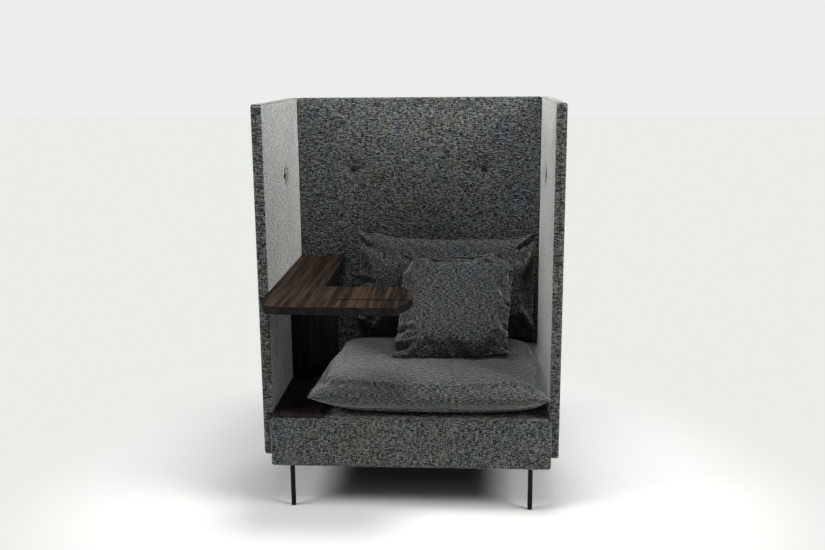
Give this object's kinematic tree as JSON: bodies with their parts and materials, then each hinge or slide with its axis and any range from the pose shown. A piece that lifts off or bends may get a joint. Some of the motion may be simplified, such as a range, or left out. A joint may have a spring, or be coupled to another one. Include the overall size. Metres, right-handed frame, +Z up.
{
  "type": "acoustic high back lounge chair",
  "caption": "High-backed padded lounge chair with full side panels, an L-shaped side table over a shelf, loose seat, back and throw cushions, and thin rod legs.",
  "frame": {"origin": "on the floor, in the middle of the plan (overall width and depth)", "axes": "+Z up, the open front faces -Y, +X to the viewer's right seen from the front, so the table is on the -X side"},
  "size_m": [0.986, 0.854, 1.35],
  "materials": {
    "upholstery": "charcoal chenille weave, napped, dull",
    "foam": "open-cell upholstery foam",
    "fibre_filling": "soft fibre and foam filling",
    "lining_cloth": "thin black lining cloth",
    "webbing": "woven elastic webbing",
    "plywood": "raw plywood",
    "frame_timber": "raw softwood",
    "smoked_oak": "dark stained open-grain veneer, matt lacquer",
    "black_steel": "black powder coat, satin",
    "zinc_steel": "zinc plated steel",
    "black_nylon": "moulded nylon, matt"
  },
  "bodies": {
    "frame": {"back_buttons": "upholstery", "back_core": "plywood", "back_foam": "foam", "back_inner_cover": "upholstery", "back_outer_cover": "upholstery", "base_bolts": "zinc_steel", "base_cover": "upholstery", "base_front_cover": "upholstery", "base_front_foam": "foam", "base_front_rail": "frame_timber", "base_left_rail": "frame_timber", "base_rear_rail": "frame_timber", "base_right_rail": "frame_timber", "board_dowels": "frame_timber", "bracket_screws": "zinc_steel", "button_ties": "zinc_steel", "console_board": "smoked_oak", "console_deck": "plywood", "console_rail": "frame_timber", "console_shelf": "smoked_oak", "corner_blocks": "frame_timber", "cross_dowels": "zinc_steel", "deck_foam": "foam", "dust_cover": "lining_cloth", "front_left_leg": "black_steel", "front_right_leg": "black_steel", "left_side_button": "upholstery", "left_side_core": "plywood", "left_side_foam": "foam", "left_side_inner_cover": "upholstery", "left_side_outer_cover": "upholstery", "leg_glides": "black_nylon", "leg_plate_screws": "zinc_steel", "leg_plates": "black_steel", "panel_bolts": "zinc_steel", "rear_left_leg": "black_steel", "rear_right_leg": "black_steel", "right_side_button": "upholstery", "right_side_core": "plywood", "right_side_foam": "foam", "right_side_inner_cover": "upholstery", "right_side_outer_cover": "upholstery", "seat_webbing": "webbing", "stiffener_screws": "zinc_steel", "table_brackets": "black_steel", "table_core": "smoked_oak", "table_edge_band": "smoked_oak", "table_stiffeners": "black_steel", "table_veneer": "smoked_oak", "tee_nuts": "zinc_steel"},
    "seat_cushion": {"seat_cushion_filling": "foam", "seat_cushion_top_cover": "upholstery", "seat_cushion_bottom_cover": "upholstery"},
    "back_cushion": {"back_cushion_filling": "fibre_filling", "back_cushion_front_cover": "upholstery", "back_cushion_rear_cover": "upholstery"},
    "throw_pillow": {"throw_pillow_filling": "fibre_filling", "throw_pillow_front_cover": "upholstery", "throw_pillow_rear_cover": "upholstery"}
  },
  "joints": [
    {"name": "seat_cushion_lift", "type": "slide", "parent": "frame", "child": "seat_cushion", "axis": [0, 0, 1], "range_m": [0, 0.1]},
    {"name": "back_cushion_lift", "type": "slide", "parent": "seat_cushion", "child": "back_cushion", "axis": [0, 0, 1], "range_m": [0, 0.2]},
    {"name": "throw_pillow_lift", "type": "slide", "parent": "seat_cushion", "child": "throw_pillow", "axis": [0, 0, 1], "range_m": [0, 0.2]}
  ]
}
